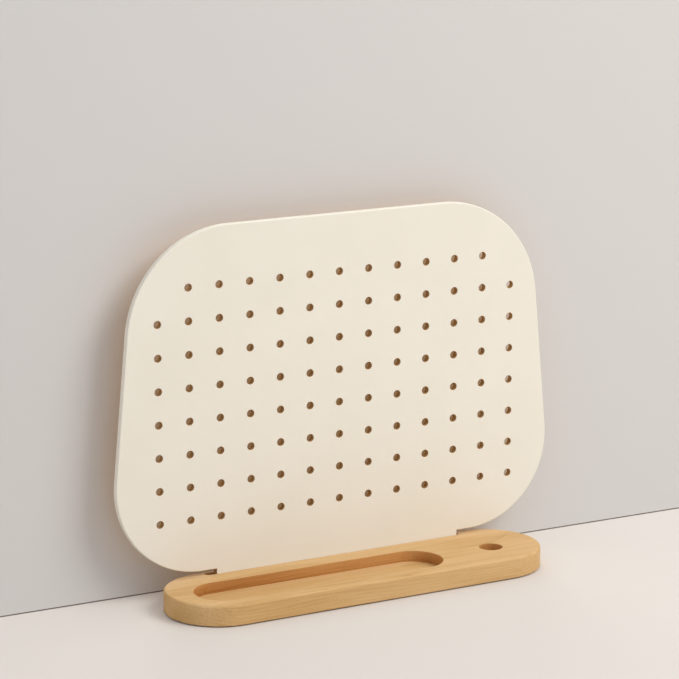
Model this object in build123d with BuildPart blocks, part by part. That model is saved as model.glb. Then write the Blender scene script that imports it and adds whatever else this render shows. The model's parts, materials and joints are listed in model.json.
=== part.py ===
# A free-standing pegboard for a desk: a flat painted board with rounded corners stands by its tongue
# in the slot of a beech base, and the base has a long pen tray and one round pen hole.
#
# Millimetres, +Z up. The origin is on the desk, below the middle of the object: X runs along the board
# and is 0 at its middle, Y runs from front to back and is 0 at the middle of the base.

import math
import os

from build123d import *

# Board: a slab that narrows from bottom to top, with large round corners.
board_thickness = 5.2
board_height = 259.5            # bottom edge to top edge, without the tongue
board_bottom_width = 383.2      # between the two sides where they would meet the bottom edge
board_top_width = 333.7         # between the two sides where they would meet the top edge
board_bottom_radius = 69.0
board_top_radius = 83.0
board_edge_rounding = 0.9       # along the front and back edges of the outline

# Peg holes: a square grid, kept away from the outline, which is why the two top corners have none.
hole_pitch = 25.0
hole_diameter = 6.0
hole_chamfer = 0.2
grid_drop = 1.75                # middle of the grid below the middle of the board
grid_margin = 20.0              # least distance from a hole's centre to the outline

# Base: a slab with round ends.
base_length = 312.0
base_depth = 83.0
base_thickness = 16.0
base_top_rounding = 2.0
base_bottom_rounding = 0.8

# Slot in the base, and the board's tongue that stands in it.
slot_length = 218.8
slot_depth = 9.0
slot_from_back = 6.65           # middle of the slot to the back of the base
slot_clearance = 0.2            # free space in front of and behind the board
slot_rim_chamfer = 0.3
tongue_length = 208.0
tongue_tip_chamfer = 1.0
board_gap = 3.65                # light gap between the board's bottom edge and the base
board_offset = 3.05             # the board stands this far right of the middle of its longer slot

# Pen tray: a long recess with round ends and a flat floor.
tray_length = 204.8
tray_width = 45.5
tray_depth = 9.0
tray_floor_rounding = 0.5       # in the corner between the wall and the floor
tray_from_left = 18.6           # left end of the base to left end of the tray
tray_from_front = 11.25         # front of the base to the front of the tray

# Pen hole: a blind hole on the middle line of the tray, close to the centre of the base's right end.
pen_hole_diameter = 18.0
pen_hole_depth = 11.0
pen_hole_from_right = 42.3      # its centre to the right end of the base
rim_rounding = 0.6              # round the mouths of the tray and the pen hole

# Anti-slip pads under the base.
pad_diameter = 14.0
pad_thickness = 0.8
pad_from_edge = 5.0             # from the front and back of the base to the rim of a pad
pad_edge_rounding = 0.2

# Heights above the desk.
base_bottom_z = pad_thickness
base_top_z = base_bottom_z + base_thickness
slot_floor_z = base_top_z - slot_depth
tray_floor_z = base_top_z - tray_depth
board_bottom_z = base_top_z + board_gap
board_top_z = board_bottom_z + board_height
grid_z = (board_bottom_z + board_top_z) / 2 - grid_drop

# Places in plan.
base_x = -board_offset
end_radius = base_depth / 2
slot_y = base_depth / 2 - slot_from_back
slot_width = board_thickness + 2 * slot_clearance
tray_x = base_x - base_length / 2 + tray_from_left + tray_length / 2
tray_y = -base_depth / 2 + tray_from_front + tray_width / 2
pen_hole_x = base_x + base_length / 2 - pen_hole_from_right
pad_x = base_length / 2 - end_radius
pad_y = base_depth / 2 - pad_from_edge - pad_diameter / 2

# The board's sections are drawn on its front face, looking along +Y, with the sketch's own y as height.
board_front = Plane(origin=(0, slot_y - board_thickness / 2, 0), x_dir=(1, 0, 0), z_dir=(0, -1, 0))


def distance_to_outline(x, z):
    """Distance from a point of the board to the nearest point of its outline, negative outside."""
    to_edges = min(board_top_z - z, z - board_bottom_z)
    slope = (board_bottom_width - board_top_width) / 2 / board_height
    lean = math.hypot(1, slope)
    side_at_z = board_bottom_width / 2 - slope * (z - board_bottom_z)
    to_side = (side_at_z - abs(x)) / lean
    distance = min(to_edges, to_side)
    for radius, centre_z, beyond in (
        (board_top_radius, board_top_z - board_top_radius, 1),
        (board_bottom_radius, board_bottom_z + board_bottom_radius, -1),
    ):
        side_at_centre = board_bottom_width / 2 - slope * (centre_z - board_bottom_z)
        centre_x = side_at_centre - radius * lean
        if abs(x) > centre_x and (z - centre_z) * beyond > 0:
            distance = min(distance, radius - math.hypot(abs(x) - centre_x, z - centre_z))
    return distance


# Rows lie half a pitch above and below the grid's middle, and one column runs up the board's middle.
columns = math.ceil(board_bottom_width / hole_pitch)
rows = math.ceil(board_height / hole_pitch)
hole_spots = [
    (column * hole_pitch, grid_z + (row + 0.5) * hole_pitch)
    for column in range(-columns, columns + 1)
    for row in range(-rows, rows + 1)
    if distance_to_outline(column * hole_pitch, grid_z + (row + 0.5) * hole_pitch) >= grid_margin
]

# Board with its tongue
with BuildPart() as board:
    with BuildSketch(board_front) as board_outline:
        with BuildLine():
            Polyline(
                (-board_bottom_width / 2, board_bottom_z),
                (board_bottom_width / 2, board_bottom_z),
                (board_top_width / 2, board_top_z),
                (-board_top_width / 2, board_top_z),
                close=True,
            )
        make_face()
        fillet(board_outline.vertices().group_by(Axis.Y)[0], board_bottom_radius)
        fillet(board_outline.vertices().group_by(Axis.Y)[-1], board_top_radius)
    extrude(amount=-board_thickness)
    fillet(board.faces().filter_by(Axis.Y).edges(), board_edge_rounding)
    with BuildSketch(board_front):
        with Locations((0, (slot_floor_z + board_bottom_z + board_edge_rounding) / 2)):
            Rectangle(tongue_length, board_bottom_z + board_edge_rounding - slot_floor_z)
    extrude(amount=-board_thickness)
    tip = board.faces().sort_by(Axis.Z)[0]
    chamfer(tip.edges(), tongue_tip_chamfer)
    with BuildSketch(board_front):
        with Locations(*hole_spots):
            Circle(hole_diameter / 2)
    extrude(amount=-board_thickness, mode=Mode.SUBTRACT)
    flat_sides = board.faces().filter_by(Axis.Y).sort_by(SortBy.AREA)[-2:]
    rims = [rim for side in flat_sides for wire in side.inner_wires() for rim in wire.edges()]
    chamfer(rims, hole_chamfer)
board.part.label = "pegboard_panel"

# Base with its slot, tray and pen hole
with BuildPart() as base:
    with BuildSketch(Plane.XY.offset(base_bottom_z)):
        with Locations((base_x, 0)):
            SlotOverall(base_length, base_depth)
    extrude(amount=base_thickness)
    fillet(base.faces().sort_by(Axis.Z)[-1].edges(), base_top_rounding)
    fillet(base.faces().sort_by(Axis.Z)[0].edges(), base_bottom_rounding)
    with BuildSketch(Plane.XY.offset(base_top_z)):
        with Locations((tray_x, tray_y)):
            SlotOverall(tray_length, tray_width)
    extrude(amount=-tray_depth, mode=Mode.SUBTRACT)
    tray_floor = base.faces().filter_by(Axis.Z).group_by(Axis.Z)[1]
    fillet(tray_floor.edges(), tray_floor_rounding)
    with BuildSketch(Plane.XY.offset(base_top_z)):
        with Locations((pen_hole_x, tray_y)):
            Circle(pen_hole_diameter / 2)
    extrude(amount=-pen_hole_depth, mode=Mode.SUBTRACT)
    top_face = base.faces().filter_by(Axis.Z).sort_by(Axis.Z)[-1]
    fillet([rim for wire in top_face.inner_wires() for rim in wire.edges()], rim_rounding)
    with BuildSketch(Plane.XY.offset(base_top_z)):
        with Locations((base_x, slot_y)):
            SlotOverall(slot_length, slot_width)
    extrude(amount=-slot_depth, mode=Mode.SUBTRACT)
    top_face = base.faces().filter_by(Axis.Z).sort_by(Axis.Z)[-1]
    slot_mouth = top_face.inner_wires().sort_by(lambda wire: wire.center().Y)[-1]
    chamfer(slot_mouth.edges(), slot_rim_chamfer)
base.part.label = "beech_base"

os.makedirs("parts", exist_ok=True)
export_step(board.part, "parts/pegboard_panel.step")
export_step(base.part, "parts/beech_base.step")

# Pads, one under each corner of the straight part of the base
pad_places = {
    "pad_front_left": (base_x - pad_x, -pad_y),
    "pad_front_right": (base_x + pad_x, -pad_y),
    "pad_back_left": (base_x - pad_x, pad_y),
    "pad_back_right": (base_x + pad_x, pad_y),
}
for pad_name, pad_place in pad_places.items():
    with BuildPart() as pad:
        with BuildSketch(Plane.XY):
            with Locations(pad_place):
                Circle(pad_diameter / 2)
        extrude(amount=pad_thickness)
        fillet(pad.faces().sort_by(Axis.Z)[0].edges(), pad_edge_rounding)
    pad.part.label = pad_name
    export_step(pad.part, f"parts/{pad_name}.step")

print("peg holes:", len(hole_spots))
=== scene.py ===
import json
import math

import bmesh
import bpy
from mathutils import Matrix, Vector


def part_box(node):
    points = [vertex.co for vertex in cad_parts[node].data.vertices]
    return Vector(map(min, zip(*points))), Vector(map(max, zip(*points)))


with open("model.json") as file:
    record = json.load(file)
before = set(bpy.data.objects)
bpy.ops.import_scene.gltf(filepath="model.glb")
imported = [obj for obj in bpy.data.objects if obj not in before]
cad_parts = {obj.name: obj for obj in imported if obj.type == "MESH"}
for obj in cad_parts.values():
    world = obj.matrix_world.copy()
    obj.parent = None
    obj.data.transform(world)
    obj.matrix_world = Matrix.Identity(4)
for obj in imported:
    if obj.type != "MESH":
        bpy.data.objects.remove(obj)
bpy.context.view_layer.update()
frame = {"nodes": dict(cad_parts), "record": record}

# A desk pegboard: a painted fibreboard panel stands by its tongue in the slot of a beech base.
# Everything below is in metres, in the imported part's own frame.

MM = 0.001
TOUCH = 0.1 * MM                 # closer than this is the same place

# The object's places and sizes.
mounts = {mount["name"]: mount for mount in frame["record"]["mounts"]}
grid_centre = Vector(mounts["peg_holes"]["pos_m"])
hole_radius = mounts["peg_holes"]["dims"]["hole_r_mm"] * MM
hole_pitch = 25 * MM
outermost_column = 6             # counted from the middle column, which is 0
board_gap = 3.65 * MM            # board's bottom edge to the base
board_front_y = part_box("pegboard_panel")[0].y
base_low, base_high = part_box("beech_base")
tray_depth = 9 * MM
rim_width = 3 * MM               # the slot comes no nearer than this to the base's outline

# How a face is told by its place and its normal.
hole_slack = 1.01                # a face within this many hole radii of a hole's centre is its wall
back_normal_y = 0.99             # above this is the panel's flat back
front_normal_y = -0.3            # at or below this is its front, with most of the rounding beside it
upright_normal_z = 0.5           # below this, either way, is a wall of the base

# Colours of each finish, from dark to light.
paint_tones = ("#ECE5D5", "#EFE8D9")
bare_board_tones = ("#DAB080", "#E9C797")
# Bare fibreboard with painted shade on it, for the hole walls and tongue ends.
drilled_board_shade_tones = ("#B68C58", "#C39F6B")
sanded_beech_tones = ("#BC9159", "#CDA56E", "#D9B380")
# Painted shade in the base's hollows: their walls take these darker beech tones.
hollow_wall_shade_tones = ("#A26A30", "#B77F46", "#CB955B")
ray_colour = "#A9743F"
rubber_tones = ("#A9A49B", "#CBC6BC")

# Beech grain, in millimetres. A density is in counts per millimetre along the base, across it and up.
ring_spacing = 2.6
ring_wander = 16.0               # the rings stray by up to this, which is a few rings
wander_density = (0.006, 0.02, 0.02)
pith_to_origin = (0, -14, 150)   # the pith, the rings' middle, runs far below the desk
fibre_density = (0.025, 1.2, 1.2)
patch_density = (0.008, 0.05, 0.05)
ray_density = (0.30, 1.9, 1.9)
# How much darker the hollows' walls get towards the tray's floor, and lighter towards the top: painted
# shade.
tray_shade_deepening = 0.16          # of a tone whose colours run from 0.55 to 0.95

# Camera: the photograph's, worked out from the perspective of the square hole grid.
camera_azimuth = -28.94          # degrees, and less than 0 is left of the front
camera_elevation = 12.70         # degrees above the horizon
camera_distance = 2098 * MM      # to the point on the board's front that it looks at
camera_aim = Vector((0, board_front_y, grid_centre.z + 35.5 * MM))
camera_lens = 148.7
camera_sensor = 36

# Light: a sky that is brighter above than below, a large lamp at the upper right, and one low behind.
sky_low = 0.34                   # strength of the sky below sky_bottom
sky_high = 0.92                  # and above sky_top
sky_bottom = -0.3                # as the height of a direction of length 1
sky_top = 0.9
sky_colour = "#F2F7FF"
lamp_distance = 2.4
lamp_size = 1.3
lamp_colour = "#FFFDF8"
front_azimuth = 36               # degrees right of the front
front_elevation = 44
front_power = 31.6
back_azimuth = 160
back_elevation = 8
back_power = 21.0

# Backdrop: a wall close behind the board, turned a little, and the desk that the object stands on.
desk_colour = "#DBD4CD"
wall_colour = "#D3CFCB"
wall_gap = 27.2 * MM             # board's front to the wall, at the board's middle
wall_turn = -0.57                # degrees about the vertical
# A dark strip along the wall's foot: painted shade where the wall meets the desk.
wall_foot_shade_colour = "#6E6258"
wall_foot_shade_height = 0.9 * MM
wall_foot_shade_forward = 0.2 * MM          # in front of the wall
stage_reach = 6.0


def linear(hex_colour):
    """An sRGB hex colour as linear RGBA."""
    channels = [int(hex_colour[i:i + 2], 16) / 255 for i in (1, 3, 5)]
    return [c / 12.92 if c <= 0.04045 else ((c + 0.055) / 1.055) ** 2.4 for c in channels] + [1.0]


def add(tree, kind, inputs=None, stops=(), **settings):
    """
    Adds a node. Its inputs are values, or sockets to link from. Its stops are a colour ramp's positions and
    hex colours.
    """
    node = tree.nodes.new(kind)
    for name, value in settings.items():
        setattr(node, name, value)
    for _ in stops[2:]:
        node.color_ramp.elements.new(1.0)
    for index, (position, colour) in enumerate(stops):
        node.color_ramp.elements[index].position = position
        node.color_ramp.elements[index].color = linear(colour)
    for socket, value in (inputs or {}).items():
        if isinstance(value, bpy.types.NodeSocket):
            tree.links.new(value, node.inputs[socket])
        else:
            node.inputs[socket].default_value = value
    return node


def new_material(name):
    """An empty node material, and its tree."""
    material = bpy.data.materials.new(name)
    material.use_nodes = True
    material.node_tree.nodes.clear()
    return material, material.node_tree


# ---------------------------------------------------------------- materials

def sprayed_paint():
    """Cream lacquer sprayed on fibreboard: even and matt, with the faint orange peel of a spray gun."""
    dark, light = paint_tones
    material, tree = new_material("sprayed_cream_paint")
    place = add(tree, "ShaderNodeTexCoord").outputs["Object"]
    cloud = add(tree, "ShaderNodeTexNoise", {"Vector": place, "Scale": 1 / (60 * MM), "Detail": 2.0})
    colour = add(tree, "ShaderNodeValToRGB", {"Fac": cloud.outputs["Fac"]},
                 stops=[(0.3, dark), (0.7, light)])
    peel = add(tree, "ShaderNodeTexNoise", {"Vector": place, "Scale": 1 / (1.6 * MM), "Detail": 2.0})
    bump = add(tree, "ShaderNodeBump", {
        "Strength": 0.12, "Distance": 0.05 * MM, "Height": peel.outputs["Fac"]})
    shader = add(tree, "ShaderNodeBsdfPrincipled", {
        "Base Color": colour.outputs["Color"], "Roughness": 0.5, "IOR": 1.48,
        "Normal": bump.outputs["Normal"]})
    add(tree, "ShaderNodeOutputMaterial", {"Surface": shader.outputs["BSDF"]})
    return material


def bare_fibreboard(name, tones):
    """
    Fibreboard that no paint reached: tan or brown, and dull, with a fine furry nap. The nap is drawn at
    0.7 mm, coarser than the real one, so that it shows.
    """
    dark, light = tones
    material, tree = new_material(name)
    place = add(tree, "ShaderNodeTexCoord").outputs["Object"]
    nap = add(tree, "ShaderNodeTexNoise", {"Vector": place, "Scale": 1 / (0.7 * MM), "Detail": 3.0})
    colour = add(tree, "ShaderNodeValToRGB", {"Fac": nap.outputs["Fac"]},
                 stops=[(0.3, dark), (0.7, light)])
    bump = add(tree, "ShaderNodeBump", {
        "Strength": 0.5, "Distance": 0.1 * MM, "Height": nap.outputs["Fac"]})
    shader = add(tree, "ShaderNodeBsdfPrincipled", {
        "Base Color": colour.outputs["Color"], "Roughness": 0.9, "IOR": 1.45,
        "Normal": bump.outputs["Normal"]})
    add(tree, "ShaderNodeOutputMaterial", {"Surface": shader.outputs["BSDF"]})
    return material


def growth_rings(tree, in_mm):
    """
    The tone of the growth rings, each of which darkens slowly before the next one starts. They are wide
    circles round a pith below the base: level lines on its front and round ends, broad bands on its top.
    """
    slow = add(tree, "ShaderNodeVectorMath", {0: in_mm, 1: wander_density}, operation="MULTIPLY")
    wander = add(tree, "ShaderNodeTexNoise", {"Vector": slow.outputs[0], "Scale": 1.0, "Detail": 1.5})
    from_pith = add(tree, "ShaderNodeVectorMath", {0: in_mm, 1: pith_to_origin}, operation="ADD")
    section = add(tree, "ShaderNodeVectorMath", {0: from_pith.outputs[0], 1: (0, 1, 1)},
                  operation="MULTIPLY")
    radius = add(tree, "ShaderNodeVectorMath", {0: section.outputs[0]}, operation="LENGTH")
    strayed = add(tree, "ShaderNodeMath", {
        0: wander.outputs["Fac"], 1: ring_wander, 2: radius.outputs["Value"]}, operation="MULTIPLY_ADD")
    rings = add(tree, "ShaderNodeMath", {0: strayed.outputs[0], 1: ring_spacing}, operation="DIVIDE")
    within = add(tree, "ShaderNodeMath", {0: rings.outputs[0]}, operation="FRACT")
    tone = add(tree, "ShaderNodeValToRGB", {"Fac": within.outputs[0]},
               stops=[(0.0, "#969696"), (0.75, "#8A8A8A"), (0.93, "#767676"), (1.0, "#969696")])
    return tone.outputs["Color"]


def ray_flecks(tree, in_mm):
    """How strongly the wood's rays show: brown spindles about 2 mm long and 0.3 mm wide."""
    spindle = add(tree, "ShaderNodeVectorMath", {0: in_mm, 1: ray_density}, operation="MULTIPLY")
    cell = add(tree, "ShaderNodeTexVoronoi", {
        "Vector": spindle.outputs[0], "Scale": 1.0, "Randomness": 1.0})
    strength = add(tree, "ShaderNodeMapRange", {
        "Value": cell.outputs["Distance"], "From Min": 0.10, "From Max": 0.30,
        "To Min": 0.38, "To Max": 0.0})
    return strength.outputs[0]


def oiled_beech(name, tones, painted_shade_depth=0.0):
    """
    Oiled beech, warm and nearly matt. Its grain runs along the base: growth rings, fine darker fibres and
    the short flecks of the rays. A painted shade depth makes it darker towards the tray's floor and lighter
    towards the top, as painted shade in the tray.
    """
    dark, middle, light = tones
    material, tree = new_material(name)
    place = add(tree, "ShaderNodeTexCoord").outputs["Object"]
    in_mm = add(tree, "ShaderNodeVectorMath", {0: place, 1: (1 / MM, 1 / MM, 1 / MM)},
                operation="MULTIPLY").outputs[0]

    # Fibres 40 mm long and 0.8 mm wide, coarser than real ones so that they show, and broad, quiet patches.
    drawn = add(tree, "ShaderNodeVectorMath", {0: in_mm, 1: fibre_density}, operation="MULTIPLY")
    fibre = add(tree, "ShaderNodeTexNoise", {
        "Vector": drawn.outputs[0], "Scale": 1.0, "Detail": 3.0, "Roughness": 0.55})
    broad = add(tree, "ShaderNodeVectorMath", {0: in_mm, 1: patch_density}, operation="MULTIPLY")
    patch = add(tree, "ShaderNodeTexNoise", {"Vector": broad.outputs[0], "Scale": 1.0, "Detail": 1.0})

    tone = add(tree, "ShaderNodeMath", {
        0: fibre.outputs["Fac"], 1: 0.55, 2: growth_rings(tree, in_mm)}, operation="MULTIPLY_ADD")
    tone = add(tree, "ShaderNodeMath", {0: patch.outputs["Fac"], 1: 0.5, 2: tone.outputs[0]},
               operation="MULTIPLY_ADD")
    # Painted shade in the tray: darker towards its floor and lighter towards its top, by the painted shade
    # depth.
    height = add(tree, "ShaderNodeSeparateXYZ", {0: place}).outputs["Z"]
    lift = add(tree, "ShaderNodeMapRange", {
        "Value": height, "From Min": base_high.z - tray_depth, "From Max": base_high.z,
        "To Min": -painted_shade_depth, "To Max": painted_shade_depth})
    tone = add(tree, "ShaderNodeMath", {0: tone.outputs[0], 1: lift.outputs[0]}, operation="ADD")
    wood = add(tree, "ShaderNodeValToRGB", {"Fac": tone.outputs[0]},
               stops=[(0.55, dark), (0.75, middle), (0.95, light)])
    colour = add(tree, "ShaderNodeMix", {
        "Factor": ray_flecks(tree, in_mm), 6: wood.outputs["Color"], 7: linear(ray_colour)},
        data_type="RGBA")

    bump = add(tree, "ShaderNodeBump", {
        "Strength": 0.2, "Distance": 0.05 * MM, "Height": fibre.outputs["Fac"]})
    shader = add(tree, "ShaderNodeBsdfPrincipled", {
        "Base Color": colour.outputs[2], "Roughness": 0.55, "IOR": 1.5, "Specular IOR Level": 0.15,
        "Normal": bump.outputs["Normal"]})
    add(tree, "ShaderNodeOutputMaterial", {"Surface": shader.outputs["BSDF"]})
    return material


def foam_rubber():
    """Thin foam rubber: pale grey and dull, with fine cells, drawn at 0.6 mm and so a little coarse."""
    dark, light = rubber_tones
    material, tree = new_material("foam_rubber")
    place = add(tree, "ShaderNodeTexCoord").outputs["Object"]
    cells = add(tree, "ShaderNodeTexVoronoi", {"Vector": place, "Scale": 1 / (0.6 * MM)})
    colour = add(tree, "ShaderNodeValToRGB", {"Fac": cells.outputs["Distance"]},
                 stops=[(0.0, dark), (0.6, light)])
    bump = add(tree, "ShaderNodeBump", {
        "Strength": 0.3, "Distance": 0.05 * MM, "Height": cells.outputs["Distance"]})
    shader = add(tree, "ShaderNodeBsdfPrincipled", {
        "Base Color": colour.outputs["Color"], "Roughness": 0.85, "IOR": 1.45,
        "Normal": bump.outputs["Normal"]})
    add(tree, "ShaderNodeOutputMaterial", {"Surface": shader.outputs["BSDF"]})
    return material


def backdrop_paint(name, hex_colour):
    """Plain matt backdrop. From behind it is clear, so that the object shows from every side."""
    material, tree = new_material(name)
    side = add(tree, "ShaderNodeNewGeometry").outputs["Backfacing"]
    matt = add(tree, "ShaderNodeBsdfPrincipled", {"Base Color": linear(hex_colour), "Roughness": 0.9})
    clear = add(tree, "ShaderNodeBsdfTransparent")
    mix = add(tree, "ShaderNodeMixShader", {0: side, 1: matt.outputs[0], 2: clear.outputs[0]})
    add(tree, "ShaderNodeOutputMaterial", {"Surface": mix.outputs[0]})
    return material


# ---------------------------------------------------------------- the object's own pieces

def give_finishes(node, materials):
    """Gives a node these materials in place of its own."""
    node.data.materials.clear()
    for material in materials:
        node.data.materials.append(material)


def finish_panel():
    """
    Paint on the panel's front and outline, bare tan fibreboard on its back, and darker, browner board where
    it was drilled and sawn: its hole walls and the ends of its tongue, where the darker tone is painted
    shade over bare fibreboard. The back is bare because what shows through the holes is brown.
    """
    painted, bare, drilled_and_shaded = range(3)
    panel = frame["nodes"]["pegboard_panel"]
    give_finishes(panel, [
        sprayed_paint(),
        bare_fibreboard("bare_fibreboard", bare_board_tones),
        # darker board on the hole walls and tongue ends: painted shade over bare fibreboard
        bare_fibreboard("drilled_fibreboard_painted_shade", drilled_board_shade_tones),
    ])
    tongue_top = base_high.z + board_gap
    for face in panel.data.polygons:
        # One column stands at x = 0, and the grid's middle height lies halfway between two rows.
        across = face.center.x / hole_pitch
        up = (face.center.z - grid_centre.z) / hole_pitch + 0.5
        from_spot = hole_pitch * math.hypot(across - round(across), up - round(up))
        in_hole = from_spot < hole_slack * hole_radius and abs(round(across)) <= outermost_column
        on_tongue = face.center.z < tongue_top - TOUCH
        if face.normal.y > back_normal_y:
            face.material_index = bare
        # Hole walls and tongue ends take the darker board: bare fibreboard with painted shade on it.
        elif face.normal.y > front_normal_y and (in_hole or on_tongue):
            face.material_index = drilled_and_shaded
        else:
            face.material_index = painted


def finish_base():
    """Oiled beech on the base, with painted shade darkening the upright walls inside its rim, and rubber on
    its pads.
    """
    sanded, shaded_hollow_wall = range(2)
    base = frame["nodes"]["beech_base"]
    give_finishes(base, [
        oiled_beech("sanded_beech", sanded_beech_tones),
        # Painted shade: darker beech tones for the walls of the hollows, darker still towards the tray's
        # floor.
        oiled_beech("beech_hollow_walls_painted_shade", hollow_wall_shade_tones, tray_shade_deepening),
    ])
    middle = (base_low + base_high) / 2
    end_radius = base_high.y - middle.y
    straight = base_high.x - middle.x - end_radius
    for face in base.data.polygons:
        beyond = max(abs(face.center.x - middle.x) - straight, 0)
        from_rim = end_radius - math.hypot(beyond, face.center.y - middle.y)
        upright = abs(face.normal.z) < upright_normal_z
        # Upright faces inside the rim get the darker beech, which is painted shade.
        face.material_index = shaded_hollow_wall if upright and from_rim > rim_width else sanded
    rubber = foam_rubber()
    for name, node in frame["nodes"].items():
        if name.startswith("pad_"):
            give_finishes(node, [rubber])


# ---------------------------------------------------------------- stage, light and camera

def sight(azimuth, elevation):
    """The direction from the object towards something, in degrees right of the front and up."""
    turn = math.radians(azimuth)
    rise = math.radians(elevation)
    return Vector((math.sin(turn) * math.cos(rise), -math.cos(turn) * math.cos(rise), math.sin(rise)))


def plane(name, corners, material):
    """A flat stage piece through four corners."""
    mesh = bpy.data.meshes.new(name)
    shape = bmesh.new()
    shape.faces.new([shape.verts.new(corner) for corner in corners])
    shape.to_mesh(mesh)
    shape.free()
    mesh.materials.append(material)
    piece = bpy.data.objects.new(name, mesh)
    bpy.context.scene.collection.objects.link(piece)
    return piece


def make_stage():
    """The desk, the wall close behind, and a dark strip of painted shade where they meet. Light passes the
    wall from behind.
    """
    reach = stage_reach
    lean = math.tan(math.radians(wall_turn)) * reach
    wall_y = board_front_y + wall_gap
    plane("desk", [(-reach, -reach, 0), (reach, -reach, 0), (reach, reach, 0), (-reach, reach, 0)],
          backdrop_paint("desk_surface", desk_colour))
    for name, forward, height, hex_colour in (
        ("wall", 0, reach, wall_colour),
        # the dark strip at the wall's foot is painted shade
        ("wall_foot_painted_shade", wall_foot_shade_forward, wall_foot_shade_height, wall_foot_shade_colour),
    ):
        left_y = wall_y - lean - forward
        right_y = wall_y + lean - forward
        corners = [(-reach, left_y, 0), (reach, right_y, 0),
                   (reach, right_y, height), (-reach, left_y, height)]
        piece = plane(name, corners, backdrop_paint(name, hex_colour))
        piece.visible_shadow = False


def area_lamp(name, azimuth, elevation, power):
    """A large soft lamp that looks at the middle of the hole grid."""
    light = bpy.data.lights.new(name, "AREA")
    light.size = lamp_size
    light.energy = power
    light.color = linear(lamp_colour)[:3]
    lamp = bpy.data.objects.new(name, light)
    towards = sight(azimuth, elevation)
    lamp.location = grid_centre + towards * lamp_distance
    lamp.rotation_euler = (-towards).to_track_quat("-Z", "Y").to_euler()
    bpy.context.scene.collection.objects.link(lamp)


def make_light():
    """Soft daylight from all round, stronger from above, a large lamp at the upper right and one behind."""
    world = bpy.data.worlds.new("studio")
    bpy.context.scene.world = world
    world.use_nodes = True
    tree = world.node_tree
    tree.nodes.clear()
    direction = add(tree, "ShaderNodeTexCoord").outputs["Generated"]
    height = add(tree, "ShaderNodeSeparateXYZ", {"Vector": direction}).outputs["Z"]
    strength = add(tree, "ShaderNodeMapRange", {
        "Value": height, "From Min": sky_bottom, "From Max": sky_top, "To Min": sky_low, "To Max": sky_high})
    sky = add(tree, "ShaderNodeBackground", {"Color": linear(sky_colour), "Strength": strength.outputs[0]})
    add(tree, "ShaderNodeOutputWorld", {"Surface": sky.outputs[0]})

    area_lamp("front_lamp", front_azimuth, front_elevation, front_power)
    area_lamp("back_lamp", back_azimuth, back_elevation, back_power)


def make_camera():
    """The photograph's camera."""
    lens = bpy.data.cameras.new("camera")
    lens.lens = camera_lens
    lens.sensor_width = camera_sensor
    camera = bpy.data.objects.new("camera", lens)
    back = sight(camera_azimuth, camera_elevation)
    camera.location = camera_aim + back * camera_distance
    camera.rotation_euler = (-back).to_track_quat("-Z", "Y").to_euler()
    bpy.context.scene.collection.objects.link(camera)
    bpy.context.scene.camera = camera


finish_panel()
finish_base()
make_stage()
make_light()
make_camera()
bpy.context.scene.view_settings.view_transform = "Standard"
